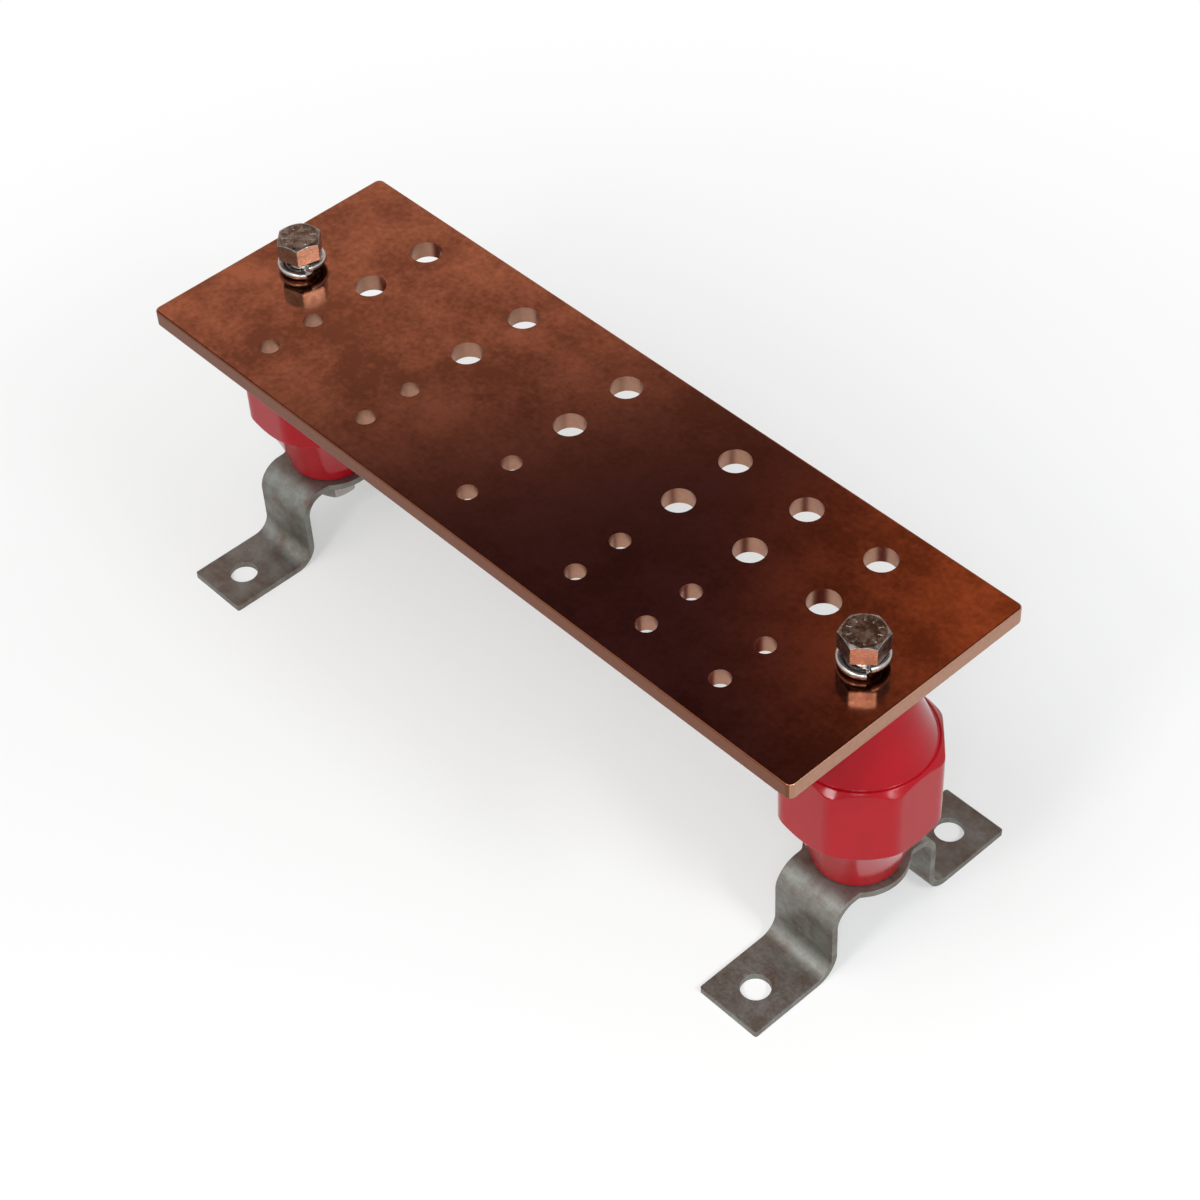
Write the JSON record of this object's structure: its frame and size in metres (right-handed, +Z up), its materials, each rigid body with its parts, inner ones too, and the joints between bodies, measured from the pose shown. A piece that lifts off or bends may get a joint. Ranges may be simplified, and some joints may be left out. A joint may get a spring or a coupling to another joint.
{
  "type": "ground busbar on standoff insulators",
  "caption": "Drilled copper grounding bar held clear of a wall by two red standoff insulators on bent steel offset brackets, with hex bolts and lock washers.",
  "frame": {"origin": "on the floor, under the centre of the bar, in the plane of the feet's undersides", "axes": "+X along the bar towards the closer pair of lug columns, +Y across the bar towards the large lug holes, +Z up from the feet to the bar"},
  "size_m": [0.3174, 0.1174, 0.1341],
  "materials": {
    "copper": null,
    "red_insulator": "glossy moulded red polyester",
    "insert_brass": "machined",
    "bracket_steel": "dull stainless sheet",
    "bolt_steel": "plain stainless, smooth",
    "washer_steel": "plain spring steel, smooth"
  },
  "bodies": {
    "root": {"copper_bar": "copper", "insulator_left": "red_insulator", "insulator_right": "red_insulator", "insert_left_top": "insert_brass", "insert_left_bottom": "insert_brass", "insert_right_top": "insert_brass", "insert_right_bottom": "insert_brass", "bracket_left": "bracket_steel", "bracket_right": "bracket_steel", "bar_bolt_left": "bolt_steel", "bar_bolt_right": "bolt_steel", "bar_washer_left": "washer_steel", "bar_washer_right": "washer_steel", "bracket_bolt_left": "bolt_steel", "bracket_bolt_right": "bolt_steel", "bracket_washer_left": "washer_steel", "bracket_washer_right": "washer_steel"}
  },
  "joints": []
}
